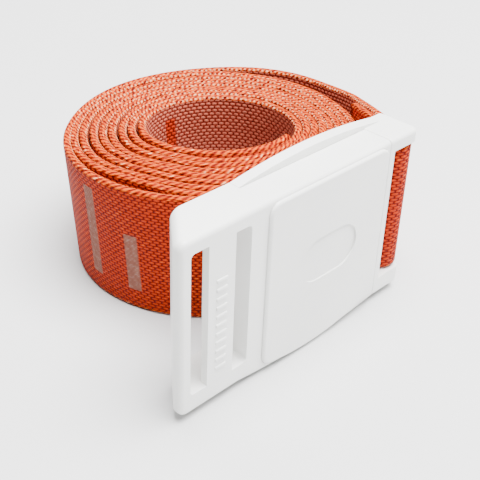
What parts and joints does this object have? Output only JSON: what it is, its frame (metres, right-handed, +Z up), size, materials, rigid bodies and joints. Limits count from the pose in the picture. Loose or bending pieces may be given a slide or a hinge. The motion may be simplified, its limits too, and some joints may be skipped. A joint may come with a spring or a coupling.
{
  "type": "rolled webbing strap with magnetic buckle",
  "caption": "Rolled woven restraint strap standing on its edge, with a slide-release magnetic buckle and webbing adjuster at its outer end.",
  "frame": {"origin": "middle of the whole footprint, on the surface that the roll and the buckle stand on", "axes": "+X along the buckle from its adjuster end to its strap end, -Y the way the buckle faces, +Z up along the strap's width"},
  "size_m": [0.1145, 0.0988, 0.0548],
  "materials": {
    "webbing": "woven, matt",
    "thread": "matt",
    "white_plastic": "satin moulded",
    "magnet": "nickel plated",
    "spring_steel": "rolled"
  },
  "bodies": {
    "strap": {"strap_roll": "webbing", "strap_outer_turn": "webbing", "strap_lead": "webbing", "strap_end_loop": "webbing", "end_loop_stitching": "thread"},
    "back_half": {"back_housing": "white_plastic", "back_magnet_cover": "white_plastic", "locking_spring": "spring_steel", "back_magnet_left": "magnet", "back_magnet_right": "magnet"},
    "front_half": {"front_housing": "white_plastic", "front_cover_plate": "white_plastic", "front_magnet_left": "magnet", "front_magnet_right": "magnet"}
  },
  "joints": [
    {"name": "buckle_swing", "type": "hinge", "parent": "strap", "child": "back_half", "pos_m": [0.02695, -0.04305, 0.0282], "axis": [0, 0, 1], "range_deg": [0, 110]},
    {"name": "release_slide", "type": "slide", "parent": "back_half", "child": "front_half", "axis": [0, 0, 1], "range_m": [0, 0.012], "stiffness_N_per_m": 600}
  ]
}
